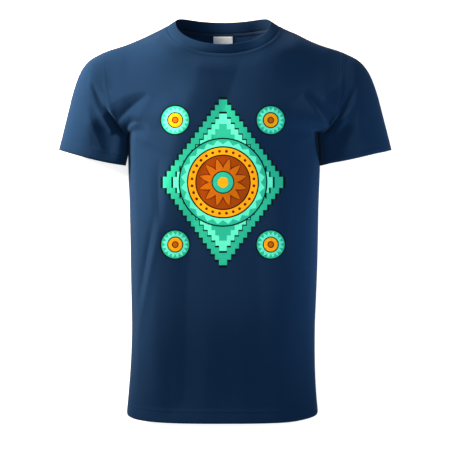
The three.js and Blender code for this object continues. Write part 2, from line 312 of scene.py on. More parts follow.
# Folds of the body at the armpits, then those of the sleeves, and the long and low ones of the body
CHEST_FOLDS = (
    # Drag folds of the chest
    dict(path=((-195, 176), (-176, 200), (-134, 231)),
         depth=11, left=(38, 8), right=(32, 12), taper=(0.8, 1, 0), power=1.3),
    dict(path=((197, 165), (178, 190), (142, 230)),
         depth=-6, left=(110, 60), right=(22, 8), taper=(0.9, 1, 0), bottom=0.6),
    dict(path=((196, 168), (181, 202), (148, 230)),
         depth=10.5, left=(9, 5), right=(28, 20), bottom=1),
    # Crest of the body's side, that the first drag fold's wall climbs to
    dict(path=((-146, 108), (-136, 156), (-112, 200), (-84, 222)),
         depth=-7, left=(40, 14), right=(110, 80), taper=(0.5, 1.1, 0), bottom=9),
    # Bulge of the side under the arm, and the creases over it
    dict(path=((-157, 176), (-159, 130), (-160, 66)),
         depth=-5, left=(30, 30), right=(11, 9), taper=(0.4, 1.1, 0), bottom=2),
    dict(path=((-177, 158), (-171, 187), (-151, 185), (-135, 166)),
         depth=7.5, left=(19, 7), right=(6, 5), taper=(0.7, 1, 0), bottom=0.6),
    dict(path=((194, 162), (178, 171), (157, 177)),
         depth=5, left=(9, 6), right=(10, 6), taper=(1, 0.9, 0)),
)
SLEEVE_FOLDS = (
    # Deep creases beside the armhole seam
    dict(path=((-178, 158), (-190, 168), (-202, 188), (-214, 211)),
         depth=11, left=(10, 8), right=(4, 3)),
    dict(path=((178, 156), (190, 160), (204, 179), (218, 203)),
         depth=9, left=(4, 3), right=(9, 7), taper=(1, 0.9, 0)),
    # Ridges beside those creases
    dict(path=((-203, 164), (-222, 196), (-240, 224)),
         depth=-3, left=(10, 8), right=(8, 7)),
    dict(path=((206, 163), (222, 186), (240, 216)),
         depth=-2.6, left=(8, 7), right=(9, 8)),
    # Hollows of the sleeve cap
    dict(path=((-213, 204), (-227, 222), (-239, 252)),
         depth=4.5, left=(10, 6), right=(12, 9), taper=(0.4, 1, 0.1)),
    dict(path=((211, 196), (226, 220), (240, 244)),
         depth=3, left=(9, 7), right=(10, 9), taper=(0.4, 1, 0.1)),
    # Where the sleeve turns from the outer edge to its inner side
    dict(path=((-222, 136), (-240, 176), (-254, 216)),
         depth=-2.6, left=(26, 20), right=(14, 12), taper=(0.8, 1, 0)),
    dict(path=((228, 132), (244, 170), (258, 210)),
         depth=-2, left=(10, 9), right=(18, 16), taper=(0.4, 1, 0)),
)
BODY_FOLDS = (
    # Long ridges down both sides, of which the one on the wearer's right stands out
    dict(path=((-38, 312), (-56, 224), (-96, 150), (-126, 40), (-130, -100), (-122, -300)),
         depth=-13, left=(62, 46), right=(126, 44), taper=(0.95, 0.8, 0.4), bottom=10, power=1.15),
    dict(path=((64, 300), (60, 220), (96, 150), (122, 40), (128, -100), (122, -300)),
         depth=-4, left=(126, 44), right=(62, 46), taper=(0.9, 1, 0.5), bottom=10, power=1.15),
    # Hollow below the wearer's right shoulder
    dict(path=((-206, 290), (-204, 262), (-200, 226)),
         depth=4, left=(90, 80), right=(36, 30), taper=(0, 1, 0), bottom=8),
    # Creases and a ridge along the sides
    dict(path=((-122, 22), (-138, -66), (-152, -146)),
         depth=4.2, left=(9, 8), right=(10, 9), taper=(0, 1.3, 0.2)),
    dict(path=((-110, 16), (-129, -74), (-157, -214)),
         depth=-3.2, left=(12, 12), right=(9, 9), taper=(0, 1.3, 0)),
    dict(path=((-115, 114), (-119, 58), (-114, 2)),
         depth=4.5, left=(13, 12), right=(16, 14), taper=(0, 1.2, 0.3)),
    dict(path=((128, 110), (136, 10), (124, -110)),
         depth=1.2, left=(24, 26), right=(20, 22), taper=(0, 1, 0)),
    # Low folds over the belly
    dict(path=((-30, -120), (-24, -220), (-34, -350)),
         depth=-1, left=(42, 42), right=(32, 34), taper=(0, 1, 0.6)),
    dict(path=((66, -110), (76, -220), (70, -350)),
         depth=1, left=(38, 40), right=(32, 36), taper=(0, 1, 0.6)),
    dict(path=((-92, -200), (-98, -280), (-92, -356)),
         depth=0.8, left=(26, 26), right=(22, 24), taper=(0, 1, 0.6)),
)
SEAM_HOLD = 7
EDGE_FADE = (0, 14)
NECK_FADE = (2, 32)
ARMHOLE_WELT = 0.7
ARMHOLE_WELT_WIDTH = 1.6
WELT_FADE_UNDER_ARM = (6, 40)
WELT_FADE_AT_SHOULDER = (0, 6)
NECK_WELT = 0.9
NECK_WELT_FROM_SEAM = 4.2
NECK_WELT_WIDTH = 2.2
LEFT_NECK_WELT_LOSS = 0.6
LEFT_NECK_WELT_X = (-40, 30)
NECK_GUTTER = 0.8
NECK_GUTTER_WIDTH = 1.4


def seam_welt(x, y, from_shoulder):
    """A low round ridge along the armhole seam, as a bell curve makes, that sinks away at both ends."""
    under_arm = np.hypot(np.abs(x) - ARMPIT[0], y - ARMPIT[1])
    distance = nearest(armhole_line, np.abs(x), y)[0]
    welt = ARMHOLE_WELT * bell(distance, 0, ARMHOLE_WELT_WIDTH) * smooth(under_arm, *WELT_FADE_UNDER_ARM)
    return welt * smooth(from_shoulder, *WELT_FADE_AT_SHOULDER)


def neck_welt(distance, x):
    """Under the collar's seam the cloth is drawn in, and past the seam allowance it stands up in a soft
    welt that is lower on the wearer's left."""
    share = 1 - LEFT_NECK_WELT_LOSS * smooth(x, *LEFT_NECK_WELT_X)
    welt = NECK_WELT * (bell(distance, NECK_WELT_FROM_SEAM, NECK_WELT_WIDTH) * share)
    return welt - NECK_GUTTER * bell(distance, 0, NECK_GUTTER_WIDTH)


def loose_waves(x, y):
    """Low uneven waves of the cloth: products of slow sines, less than half a millimetre high."""
    return (
        0.16 * np.sin(x / 19 + 0.8 * np.sin(y / 71)) * np.sin(y / 97 + 1.3)
        + 0.12 * np.sin((x + 0.4 * y) / 27 + 2.1)
        + 0.08 * np.sin(y / 23 + 0.9 * np.sin(x / 37))
    )


def front_folds(x, y):
    """Sum of the folds, the loose waves and the seam's welt. Body and sleeves share it, so they meet. A
    fold of one side dies away exponentially on the other side of the armhole seam."""
    top, side = edge_distances(np.abs(x), y)
    inside = smooth(np.minimum(top, side), *EDGE_FADE)
    seam, _, lean = nearest(armhole_line, np.abs(x), y)
    past_seam = -seam * lean
    on_body = np.exp(-np.maximum(0, past_seam) / SEAM_HOLD)
    on_sleeve = np.exp(-np.maximum(0, -past_seam) / SEAM_HOLD)
    folds = on_body * sum(crease(x, y, **fold) for fold in CHEST_FOLDS)
    folds += on_sleeve * sum(crease(x, y, **fold) for fold in SLEEVE_FOLDS)
    neck = smooth(nearest(front_neck_line, x, y)[0], *NECK_FADE)
    folds += neck * sum(crease(x, y, **fold) for fold in BODY_FOLDS)
    return inside * (folds + loose_waves(x, y)) + seam_welt(x, y, top)


def front_surface(x, y):
    """Outer face of the shirt's upper side: its rounding and its folds."""
    return front_height(x, y) + front_folds(x, y)


SLEEVE_SLIDE = 4
SLEEVE_SLIDE_X = (200, 300)
HEM_SLIDE = 1.2
HEM_SLIDE_Y = (-200, -340)
WAIST_BULGE = 4
WAIST_BULGE_X = ((100, 168), (185, 260))
WAIST_BULGE_Y = ((-300, -40), (100, 185))
LEFT_LIFT = 2
LEFT_CORNER = ((115, 165), (-300, -345))
LEFT_CUFF_X = ((172, 196), (270, 300))
LEFT_CUFF_Y = (104, 190)
SHOULDER_STAND = 1.7
SHOULDER_STAND_AT = (206, 20)
NECK_STAND = 1.5
NECK_STAND_AT = (134, 15)
STAND_Y = (240, 300)


def between(value, rise, fall):
    """Rises from 0 to 1 over the first band, and back to 0 over the second one."""
    return smooth(value, *rise) * (1 - smooth(value, *fall))


def settled(x, y, z):
    """Where a point of the cut comes to lie: both sleeves have slid to the wearer's left and the hem to
    the right, the left side bulges at the waist, and its hem corner and the left cuff lie higher. The
    shoulders stand up, and the left one also does beside the neck, each by a bell curve."""
    slide = SLEEVE_SLIDE * smooth(np.abs(x), *SLEEVE_SLIDE_X) - HEM_SLIDE * smooth(y, *HEM_SLIDE_Y)
    bulge = WAIST_BULGE * (between(x, *WAIST_BULGE_X) * between(y, *WAIST_BULGE_Y))
    corner = smooth(x, *LEFT_CORNER[0]) * smooth(y, *LEFT_CORNER[1])
    cuff = between(x, *LEFT_CUFF_X) * (1 - smooth(y, *LEFT_CUFF_Y))
    stand = SHOULDER_STAND * bell(np.abs(x), *SHOULDER_STAND_AT) + NECK_STAND * bell(x, *NECK_STAND_AT)
    y_laid = y + LEFT_LIFT * (corner + cuff) + stand * smooth(y, *STAND_Y)
    return np.stack((x + slide + bulge, y_laid, z), -1)


# The panel's grid: its hem with two rows of stitches, then the belly, the chest and the armholes
HEM_DEPTH = 26
HEM_STITCHES = (24, 18)
HEM_AIR = 0.15
HEM_STEP = 0.6
HEM_STEP_BAND = (0.5, 3)  # past the first row of stitches
HEM_EDGE_BEND = 1.5
HEM_EDGE_WIDTH = 2.2
STITCH_DRAW = 0.4
STITCH_DRAW_WIDTH = 1.3
HEM_ROWS = 24
HEM_MARGIN = 3
HEM_TURN_ROWS = 6
HEM_INNER_ROWS = 8
BELLY_TOP_Y = 80
ARMHOLE_CROWDING = 1.35
SIDE_CURVE_HOLD = 0.23


def hem_relief(distance, rows):
    """A hem is two layers thick up to its first row of stitches, so the cloth steps down there. Each row
    draws it in by a bell curve, and its edge bends down, by an exponential of the distance."""
    step = HEM_STEP * (1 - smooth(distance, *np.add(rows[0], HEM_STEP_BAND)))
    drawn_in = sum(bell(distance, row, STITCH_DRAW_WIDTH) for row in rows)
    edge = HEM_EDGE_BEND * np.exp(-np.maximum(0, distance) / HEM_EDGE_WIDTH)
    return step - STITCH_DRAW * drawn_in - edge


def patch(bottom, top, left, right, across, upward, hold=1, power=1):
    """Mixes bottom and top, and adds how far the left and right edges stray from straight lines between
    their ends. That fades inwards as (1 - share of the width / hold) to a power."""
    u = across[None, :, None]
    v = upward[:, None, None]
    stray_left = left[:, None] - mix(left[:1, None], left[-1:, None], v)
    stray_right = right[:, None] - mix(right[:1, None], right[-1:, None], v)
    from_left = np.clip(1 - u / hold, 0, 1) ** power
    from_right = np.clip(1 - (1 - u) / hold, 0, 1) ** power
    return mix(bottom[None], top[None], v) + stray_left * from_left + stray_right * from_right


def body_plan(neck_y, belly_rows, chest_rows, armhole_rows, shoulder_columns, neck_columns):
    """Plan grid of a body panel: rows from hem to shoulders, close together in the hem and at the top."""
    hem_top_y = HEM_CORNER_Y + HEM_DEPTH + HEM_MARGIN
    hem_rows = np.linspace(HEM_CORNER_Y, hem_top_y, HEM_ROWS + 1)
    belly = np.linspace(hem_top_y, BELLY_TOP_Y, belly_rows + 1)[1:]
    chest = np.linspace(BELLY_TOP_Y, ARMPIT_Y, chest_rows + 1)[1:]
    low_y = np.concatenate((hem_rows, belly, chest))
    share = 1 - (1 - np.linspace(0, 1, armhole_rows + 1)[1:]) ** ARMHOLE_CROWDING
    right = np.vstack((np.stack((side_half(low_y), low_y), -1), at_share(armhole_line, share)))
    mirror = right * (-1, 1)
    inwards = np.linspace(1, 0, shoulder_columns, endpoint=False)
    shoulder = shoulder_line(inwards)
    neck_x = NECK_HALF * np.cos(np.pi * np.linspace(0, 1, neck_columns + 1))
    neck = np.stack((neck_x, neck_y(neck_x)), -1)
    top = np.vstack((shoulder, neck, (shoulder * (-1, 1))[::-1]))[::-1]
    side_x = mix(NECK_HALF, HEM_HALF, np.sin(np.pi / 2 * inwards))
    hem_x = np.concatenate((-side_x, -neck_x, side_x[::-1]))
    across = (hem_x + HEM_HALF) / (2 * HEM_HALF)
    hem = np.stack((hem_x, hem_y(hem_x)), -1)
    upward = (right[:, 1] - HEM_CORNER_Y) / (SHOULDER_TIP[1] - HEM_CORNER_Y)
    return patch(hem, top, mirror, right, across, upward, hold=SIDE_CURVE_HOLD, power=2)


def grid_normals(grid, closed=False):
    """Unit normals of a grid: the step across crossed with the step upward."""
    if closed:
        across = np.roll(grid, -1, 1) - np.roll(grid, 1, 1)
    else:
        across = np.gradient(grid, axis=1)
    normal = np.cross(across, np.gradient(grid, axis=0))
    return normal / np.maximum(1e-9, np.linalg.norm(normal, axis=-1, keepdims=True))


def turned_hem(grid, depth, outward, closed=False):
    """Rows that run up inside the cloth, and round a half circle at the edge to the grid's first row."""
    gap = 2 * CLOTH + HEM_AIR
    normal = grid_normals(grid, closed) * outward
    rise = np.linalg.norm(np.diff(grid, axis=0), axis=-1).mean(1).cumsum()
    rows = np.searchsorted(rise, np.linspace(depth, 0, HEM_INNER_ROWS, endpoint=False))
    rows = rows[rows < len(rise)]
    inner = grid[rows] - normal[rows] * gap
    down = grid[0] - grid[1]
    down /= np.maximum(1e-9, np.linalg.norm(down, axis=-1, keepdims=True))
    angle = np.linspace(np.pi, 0, HEM_TURN_ROWS + 1)[:-1, None, None]
    turn = grid[0] + normal[0] * gap / 2 * (np.cos(angle) - 1) + down * gap / 2 * np.sin(angle)
    return np.vstack((inner, turn, grid))


def row_at(grid, normals, measure, distance):
    """The points and normals where a measure that grows from row to row reaches this distance."""
    column = np.arange(grid.shape[1])
    row = np.clip((measure < distance).sum(0) - 1, 0, len(grid) - 2)
    low, high = measure[row, column], measure[row + 1, column]
    share = ((distance - low) / np.maximum(1e-6, high - low))[:, None]
    return [mix(values[row, column], values[row + 1, column], share) for values in (grid, normals)]


def mesh_object(name, points, faces, *materials):
    """A piece with smooth faces, from points in millimetres."""
    mesh = bpy.data.meshes.new(name)
    mesh.from_pydata((points.reshape(-1, 3) * MM).tolist(), [], faces)
    mesh.polygons.foreach_set("use_smooth", np.ones(len(faces), bool))
    for material in materials:
        mesh.materials.append(material)
    return in_scene(name, mesh)


STITCH_PITCH = 3.2
STITCH_LENGTH = 2.4
STITCH_LIFT = 0.1
STITCH_DIP = 0.4
STITCH_RINGS = (-1, -0.7, 0, 0.7, 1)
STITCH_END_LOSS = 0.94  # of the thread's section
STITCH_AIM = 0.3  # how far before and behind a point the thread's direction is taken
THREAD_RADIUS = 0.27
THREAD_SIDES = 6


def stitches_object(name, rows, lift=0.0):
    """Sewing thread along rows of points: each stitch is a pill of five rings with six points each. It
    bows out of the cloth by a parabola, and its ends dip into it."""
    along = np.array(STITCH_RINGS)
    angle = 2 * np.pi / THREAD_SIDES * np.arange(THREAD_SIDES)[:, None]
    pills = []
    for line, normal in rows:
        length = np.linalg.norm(np.diff(line, axis=0), axis=1).sum()
        middle = np.arange(STITCH_PITCH, length - STITCH_PITCH / 2, STITCH_PITCH)
        at = (middle[:, None] + along * STITCH_LENGTH / 2) / length
        up = at_share(line, at, normal)
        ahead = at_share(line, at + STITCH_AIM / length) - at_share(line, at - STITCH_AIM / length)
        beside = np.cross(up, ahead)
        beside /= np.linalg.norm(beside, axis=-1, keepdims=True)
        centre = at_share(line, at) + up * (lift + STITCH_LIFT - STITCH_DIP * along**2)[:, None]
        thick = THREAD_RADIUS * np.sqrt(1 - STITCH_END_LOSS * along**2)[:, None, None]
        round_way = beside[:, :, None] * np.cos(angle) + up[:, :, None] * np.sin(angle)
        pills.append(centre[:, :, None] + thick * round_way)
    pills = np.concatenate(pills)
    index = np.arange(pills.size // 3).reshape(pills.shape[:3])
    beyond = np.roll(index, -1, 2)
    quads = np.stack((index[:, :-1], beyond[:, :-1], beyond[:, 1:], index[:, 1:]), -1).reshape(-1, 4)
    caps = np.concatenate((index[:, 0, ::-1], index[:, -1]))
    piece = mesh_object(name, pills, quads.tolist() + caps.tolist(), thread)
    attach(piece, "root")
    return piece


def cells(index):
    """The four corners of each cell of a grid of point numbers."""
    corners = (index[:-1, :-1], index[:-1, 1:], index[1:, 1:], index[1:, :-1])
    return np.stack(corners, -1).reshape(-1, 4)


def cloth_object(name, grid, *materials, flip=False, closed=False):
    """A piece from a grid of points, with its runs across and up in metres as its UV."""
    rows, columns = grid.shape[:2]
    index = np.arange(rows * columns).reshape(rows, columns)
    if closed:
        index = np.hstack((index, index[:, :1]))
        grid = np.concatenate((grid, grid[:, :1]), 1)
    steps_across = np.linalg.norm(np.diff(grid, axis=1), axis=-1)
    run = np.hstack((np.zeros((rows, 1)), steps_across.cumsum(1)))
    run -= run[:, [run.shape[1] // 2]]
    steps_up = np.linalg.norm(np.diff(grid, axis=0), axis=-1).mean(1)
    height = np.concatenate(([0], steps_up.cumsum()))[:, None] + np.zeros_like(run)
    uv = np.stack((run, height), -1) * MM
    quads = cells(index)
    corners = cells(np.arange(run.size).reshape(run.shape))
    if flip:
        quads, corners = quads[:, ::-1], corners[:, ::-1]
    piece = mesh_object(name, grid[:, :columns], quads.tolist(), *materials)
    layer = piece.data.uv_layers.new(name="cloth")
    layer.data.foreach_set("uv", uv.reshape(-1, 2)[corners.reshape(-1)].ravel())
    return piece


def thicken(piece, thickness=CLOTH):
    """A wall that grows inwards from the modelled face."""
    wall = piece.modifiers.new("wall", "SOLIDIFY")
    wall.thickness = thickness * MM
    wall.offset = -1


def link(start, end):
    """Joins two sockets of a material."""
    end.id_data.links.new(start, end)


class Field:
    """A number that varies over a surface, as a shader socket. Sums and products of it add Math nodes."""

    def __init__(self, socket):
        self.socket = socket
        self.nodes = socket.id_data.nodes

    def do(self, operation, other=None):
        node = self.nodes.new("ShaderNodeMath")
        node.operation = operation
        for slot_index, value in enumerate((self, other)):
            if isinstance(value, Field):
                link(value.socket, node.inputs[slot_index])
            elif value is not None:
                node.inputs[slot_index].default_value = value
        return Field(node.outputs[0])

    __add__ = partialmethod(do, "ADD")
    __sub__ = partialmethod(do, "SUBTRACT")
    __mul__ = partialmethod(do, "MULTIPLY")
    __truediv__ = partialmethod(do, "DIVIDE")
    __pow__ = partialmethod(do, "POWER")
    __abs__ = partialmethod(do, "ABSOLUTE")
    below = partialmethod(do, "LESS_THAN")

    def triangle(self):
        """A wave of period 1 that goes from 1 at whole numbers to 0 halfway."""
        return abs(self.do("FRACT") * 2 - 1)


def new_material(name, sockets):
    """A material with a Principled shader, which gets these plain numbers and colours, and the node that
    gives each point's place."""
    material = bpy.data.materials.new(name)
    material.use_nodes = True
    nodes = material.node_tree.nodes
    shader = nodes["Principled BSDF"]
    for socket, value in sockets.items():
        shader.inputs[socket].default_value = value
    return material, shader, nodes.new("ShaderNodeTexCoord")


def across_and_up(place, kind):
    """The first two coordinates of a point, along the cloth for UV or in the scene for Object."""
    node = place.id_data.nodes.new("ShaderNodeSeparateXYZ")
    link(place.outputs[kind], node.inputs[0])
    return Field(node.outputs["X"]), Field(node.outputs["Y"])


def noise(place, scale, detail=2.0):
    """Smooth noise around one half."""
    node = place.id_data.nodes.new("ShaderNodeTexNoise")
    node.inputs["Scale"].default_value = scale
    node.inputs["Detail"].default_value = detail
    link(place.outputs["Object"], node.inputs["Vector"])
    return Field(node.outputs["Fac"])


def blended(share, first, second):
    """Mixes two colours, each an RGB triple or a socket, by a field."""
    node = share.nodes.new("ShaderNodeMix")
    node.data_type = "RGBA"
    link(share.socket, node.inputs["Factor"])
    for name, value in (("A", first), ("B", second)):
        socket = [s for s in node.inputs if s.name == name and s.type == "RGBA"][0]
        if isinstance(value, tuple):
            socket.default_value = (*value, 1)
        else:
            link(value, socket)
    return [s for s in node.outputs if s.type == "RGBA"][0]


def coloured(shader, colour):
    """Links a colour to the shader."""
    link(colour, shader.inputs["Base Color"])


def bumped(shader, height, distance):
    """Links a height between 0 and 1, times a distance in metres, to the shader's normal."""
    node = height.nodes.new("ShaderNodeBump")
    node.inputs["Distance"].default_value = distance
    link(height.socket, node.inputs["Height"])
    link(node.outputs["Normal"], shader.inputs["Normal"])


# Navy jersey of matt cotton, with a soft sheen
NAVY = (0.0036, 0.0162, 0.0480)
NAVY_WORN = (0.0044, 0.0190, 0.0550)
WALE = 0.00078  # metres from one knitted column to the next
COURSE = 0.00062  # metres from one knitted row to the next
KNIT_DEPTH = 0.00016
MATT_COTTON = {
    "Roughness": 0.95,
    "Specular IOR Level": 0.02,
    "Sheen Weight": 0.08,
    "Sheen Roughness": 0.4,
    "Sheen Tint": (0.4, 0.7, 1.0, 1),
}


def knit_height(u, v):
    """Face of plain jersey: in each wale two rows of slanting legs make a V, and gutters part the wales."""
    across = (u / WALE).triangle()
    leg = ((v / COURSE + across * 0.5) * math.pi).do("SINE")
    return abs(leg) * 0.6 + (across * -1 + 1) * 0.4


def navy_yarn(place):
    """Navy with the slow unevenness of the dye and the fine speckle of the fibres."""
    slow = noise(place, 9.0)
    speckle = noise(place, 1400.0, 1.0)
    return blended(slow * 0.55 + speckle * 0.45, NAVY, NAVY_WORN)


def knit_material(name, yarn):
    """Knitted cotton in a yarn's colour, with the knit and its fuzz as bump along the cloth's UV."""
    material, shader, place = new_material(name, MATT_COTTON)
    coloured(shader, yarn(place))
    fuzz = noise(place, 2200.0)
    bumped(shader, knit_height(*across_and_up(place, "UV")) + fuzz * 0.5, KNIT_DEPTH)
    return material


jersey = knit_material("jersey", navy_yarn)

thread, shader, place = new_material("sewing_thread", {"Roughness": 0.8, "Specular IOR Level": 0.05})
twist = noise(place, 1800.0)
coloured(shader, blended(twist, (0.005, 0.021, 0.060), (0.008, 0.030, 0.080)))
bumped(shader, twist, 0.0002)

# Flat ink of the print, in metres around its centre
PRINT_CENTRE_Y = 0.070
INK_BLACK = (0.001, 0.007, 0.005)
INK_TURQUOISE = (0.016, 0.370, 0.255)
INK_MINT = (0.085, 0.690, 0.500)
INK_GOLD = (0.700, 0.310, 0.006)
INK_AMBER = (0.360, 0.100, 0.003)
INK_BROWN = (0.105, 0.014, 0.001)
INK_RUST = (0.215, 0.040, 0.002)
FAN_CENTRE = (0.0860, 0.1120)
FAN_RAYS = 16
ROSETTE_TEETH = 24
ROSETTE_BEADS = 28
ROSETTE_PETALS = 12
BEAD_RING_RADIUS = 0.0560


def painted(colour, layers):
    """Inks over a colour, each where its share is 1, from the lowest layer to the highest."""
    for share, ink in layers:
        colour = blended(share, colour, ink)
    return colour


def turns(x, y):
    """Angle round the centre, as a share of a whole turn."""
    return y.do("ARCTAN2", x) / (2 * math.pi)


def stairs(x, y, width, height, steps):
    """How far out a point is in a lozenge with stairs for sides, which ends where this reaches 1."""
    across = (abs(x) / (width / steps)).do("FLOOR")
    up = (abs(y) / (height / steps)).do("FLOOR")
    return (across + up + 0.5) / steps


def stepped_lozenge(colour, x, y):
    """Nested lozenges with stairs for sides, in turquoise and mint, with two black outlines."""
    return painted(colour, (
        (stairs(x, y, 0.1125, 0.1535, 15).below(1), INK_BLACK),
        (stairs(x, y, 0.1080, 0.1490, 15).below(1), INK_TURQUOISE),
        (stairs(x, y, 0.0930, 0.1270, 13).below(1), INK_BLACK),
        (stairs(x, y, 0.0895, 0.1235, 13).below(1), INK_MINT),
        (stairs(x, y, 0.0770, 0.1050, 11).below(1), INK_TURQUOISE),
    ))


def corner_fans(colour, x, y):
    """A small round fan at each of four points round the lozenge: rings and a wheel of rays."""
    across = abs(x) - FAN_CENTRE[0]
    up = abs(y) - FAN_CENTRE[1]
    radius = (across * across + up * up) ** 0.5
    rays = (turns(across, up) * FAN_RAYS).triangle()
    return painted(colour, (
        (radius.below(0.0275), INK_BLACK),
        (radius.below(0.0250), INK_TURQUOISE),
        ((radius + rays * 0.0070).below(0.0240), INK_MINT),
        (radius.below(0.0145), INK_BLACK),
        (radius.below(0.0125), INK_GOLD),
        (radius.below(0.0062), INK_BROWN),
        (radius.below(0.0042), INK_AMBER),
    ))


def rosette(colour, x, y):
    """Rings of teeth, beads and petals round one centre, painted from the largest ring inwards."""
    radius = (x * x + y * y) ** 0.5
    turn = turns(x, y)
    teeth = (turn * ROSETTE_TEETH).triangle()
    beside_bead = (turn * ROSETTE_BEADS).triangle() * 0.0061
    from_bead = ((radius - BEAD_RING_RADIUS) ** 2 + beside_bead**2) ** 0.5
    petals = (turn * ROSETTE_PETALS).triangle()
    return painted(colour, (
        (radius.below(0.0800), INK_BLACK),
        (radius.below(0.0775), INK_TURQUOISE),
        ((radius + teeth * 0.0075).below(0.0755), INK_MINT),
        (radius.below(0.0650), INK_BLACK),
        (radius.below(0.0625), INK_GOLD),
        (from_bead.below(0.0026), INK_BROWN),
        (radius.below(0.0500), INK_BLACK),
        (radius.below(0.0478), INK_RUST),
        ((radius + petals * 0.0150).below(0.0452), INK_BROWN),
        ((radius + petals * 0.0190).below(0.0435), INK_AMBER),
        (radius.below(0.0205), INK_BLACK),
        (radius.below(0.0185), INK_TURQUOISE),
        (radius.below(0.0095), INK_GOLD),
    ))


def printed_yarn(place):
    """The navy yarn with the print on it: the fans, then the lozenge, then the rosette."""
    x, y = across_and_up(place, "Object")
    y = y - PRINT_CENTRE_Y
    return rosette(stepped_lozenge(corner_fans(navy_yarn(place), x, y), x, y), x, y)


printed = knit_material("jersey_printed", printed_yarn)

# The panel is laid, thickened and stitched. Its wall and its inner face carry no print.
SIDE_TUCK = 0.3
SIDE_TUCK_WIDTH = 3
HEM_FADE_AT_SIDE = 9
NECK_STITCHES = 4.4
FRONT_GRID = dict(belly_rows=80, chest_rows=36, armhole_rows=84, shoulder_columns=52, neck_columns=84)

plan = body_plan(front_neck_y, **FRONT_GRID)
x, y = plan[..., 0], plan[..., 1]
from_hem = y - hem_y(x)
from_neck = nearest(front_neck_line, x, y)[0]
from_side = nearest(side_edge, np.abs(x), y)[0]
tuck = SIDE_TUCK * (1 - smooth(from_side, 0, SIDE_TUCK_WIDTH))
hem = hem_relief(from_hem, HEM_STITCHES) * smooth(from_side, 0, HEM_FADE_AT_SIDE) - tuck
front_grid = settled(x, y, front_surface(x, y) + neck_welt(from_neck, x) + hem)
front = cloth_object("front_panel_cloth", turned_hem(front_grid, HEM_DEPTH, 1), printed, jersey)
thicken(front)
front.modifiers["wall"].material_offset = 1
front.modifiers["wall"].material_offset_rim = 1
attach(front, "root")
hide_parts("front_panel")
front_normals = grid_normals(front_grid)
rows = [row_at(front_grid, front_normals, from_hem, distance) for distance in HEM_STITCHES]
beside_neck = FRONT_GRID["shoulder_columns"]
under_neck = slice(beside_neck, -beside_neck)
down_from_neck = [values[::-1, under_neck] for values in (front_grid, front_normals, from_neck)]
rows.append(row_at(*down_from_neck, NECK_STITCHES))
front_stitches = stitches_object("front_stitches", rows)

# The back is the same cut with a shallow neckline. It lies on the floor, so it is flat but for soft waves,
# and it curls up to the side seams.
BACK_NECK_DROP = 11.5
BACK_REACH = 50
BACK_WAVE = 1.3
BACK_WAVE_FROM_EDGE = (10, 60)
BACK_WAVE_FROM_NECK = (3, 40)
BACK_GRID = dict(belly_rows=72, chest_rows=20, armhole_rows=44, shoulder_columns=24, neck_columns=64)


def back_neck_y(x):
    """A shallow parabola under the neck points."""
    return NECK_POINT_Y - BACK_NECK_DROP * (1 - np.minimum(1, (x / NECK_HALF) ** 2))


def back_height(x, y):
    """Closed edge's height, less itself where the back has curled down to lie on the floor."""
    x = from_middle(x)
    top, side = edge_distances(x, y)
    fall = round_shoulder(x, y, top, BACK_REACH) * round_over(side / BACK_REACH, 2)
    return seam_height(x, y) * (1 - fall)


def back_folds(x, y):
    """Low waves that lift the back off the floor here and there, and the armhole seam's welt."""
    top, side = edge_distances(np.abs(x), y)
    inside = smooth(np.minimum(top, side), *BACK_WAVE_FROM_EDGE)
    inside = inside * smooth(back_neck_y(x) - y, *BACK_WAVE_FROM_NECK)
    waves = (1 + np.sin(x / 24 + 0.9 * np.sin(y / 83))) * (0.5 + 0.5 * np.sin(y / 61 + 0.7))
    return inside * BACK_WAVE * waves + seam_welt(x, y, top)


def back_surface(x, y):
    """Face of the shirt's lower side that lies on the floor, and never under it."""
    return np.maximum(0, back_height(x, y) + back_folds(x, y))


plan = body_plan(back_neck_y, **BACK_GRID)
x, y = plan[..., 0], plan[..., 1]
back_grid = settled(x, y, back_surface(x, y))
back = cloth_object("back_panel_cloth", turned_hem(back_grid, HEM_DEPTH, -1), jersey, flip=True)
thicken(back)
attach(back, "root")
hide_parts("back_panel")
rows = [row_at(back_grid, -grid_normals(back_grid), y - hem_y(x), distance) for distance in HEM_STITCHES]
back_stitches = stitches_object("back_stitches", rows, lift=-0.25)

# Each sleeve is one piece of jersey, closed by a seam under the arm and set into the armhole. Its cuff is
# turned up inside and hemmed like the body.
CUFF_BOW = (238, 110.5)
CUFF_HEM = 20
CUFF_STITCHES = (19, 14)
SLEEVE_ROWS = 78
SLEEVE_AROUND = 84
LEFT_CUFF_LEAN = 4.4
LEFT_CUFF_LEAN_X = (172, 235)
LEFT_CUFF_LEAN_DEPTH = 20.5
UNDER_TUCK = 0.6
UNDER_DROP = 6
UNDER_WIDTH = 6
UNDER_Y = ((88, 100), (148, 158))
SEAM_ALLOWANCE = ((6, 2.0), (2.5, 1.8), (0.7, 1.0))  # how far into the body, and how deep under its cloth
ALLOWANCE_LEAN = 0.4
ALLOWANCE_LEAN_Y = (285, 304)
ALLOWANCE_ROOM = (0, 8)
FAR_FROM_CUFF = 999

cuff_line = bezier((CUFF_INNER, CUFF_BOW, CUFF_OUTER), fine)


def eased(n):
    """n + 1 shares from 0 to 1 that crowd together at both ends, as points on a half circle do."""
    return (1 - np.cos(np.pi * np.linspace(0, 1, n + 1))) / 2


def leant(x, y):
    """The wearer's left cuff leans against the body, most at its inner corner."""
    down = np.clip((UNDERARM_BEND[1] - y) / LEFT_CUFF_LEAN_DEPTH, 0, 1)
    return x - LEFT_CUFF_LEAN * (1 - smooth(np.abs(x), *LEFT_CUFF_LEAN_X)) * down * (x > 0)


def under_side(x, y):
    """1 along the sleeve's inner edge, by a bell curve, where it lies just under the body's side."""
    return bell(np.abs(x), ARMPIT[0], UNDER_WIDTH) * between(y, *UNDER_Y)


